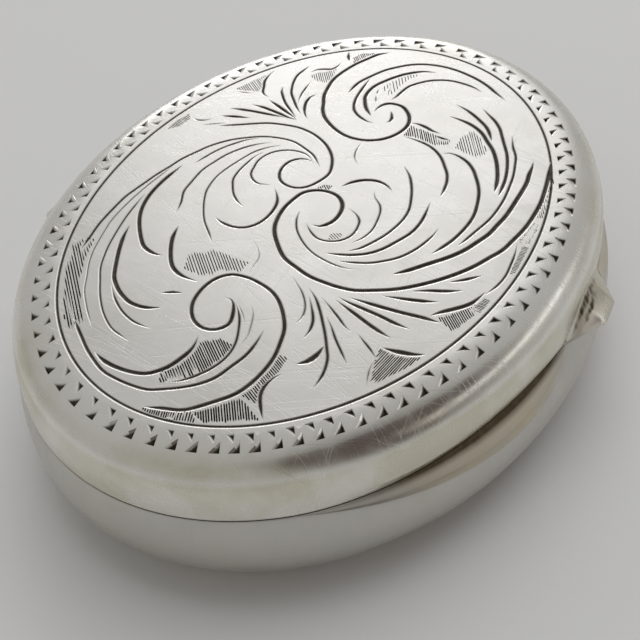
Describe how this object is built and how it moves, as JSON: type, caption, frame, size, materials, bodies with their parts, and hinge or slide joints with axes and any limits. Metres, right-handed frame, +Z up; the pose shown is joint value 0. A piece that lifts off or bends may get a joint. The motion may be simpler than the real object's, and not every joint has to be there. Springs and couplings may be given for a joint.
{
  "type": "pill box",
  "caption": "Small oval silver pill box with a scroll-engraved hinged lid, milled border, front thumb-piece and bellied base.",
  "frame": {"origin": "centre of the flat bottom", "axes": "+Z up, X along the length of the oval, thumb-piece towards -Y and hinge at +Y"},
  "size_m": [0.0456, 0.0365, 0.0114],
  "materials": {
    "engraved_silver": "worn polish, hand engraved",
    "satin_silver": "satin with fine scratches",
    "hinge_silver": "satin, tarnished in the joints",
    "gilt_inside": "pale gilt wash"
  },
  "bodies": {
    "base": {"base_shell": "satin_silver", "base_inner_rim": "gilt_inside", "base_hinge_bearer": "hinge_silver", "base_knuckle_left": "hinge_silver", "base_knuckle_middle": "hinge_silver", "base_knuckle_right": "hinge_silver", "hinge_pin": "hinge_silver"},
    "lid": {"lid_shell": "engraved_silver", "thumb_piece": "satin_silver", "lid_hinge_bearer": "hinge_silver", "lid_knuckle_left": "hinge_silver", "lid_knuckle_right": "hinge_silver"}
  },
  "joints": [
    {"name": "lid_hinge", "type": "hinge", "parent": "base", "child": "lid", "pos_m": [0, 0.01705, 0.00736], "axis": [-1, 0, 0], "range_deg": [0, 105]}
  ]
}
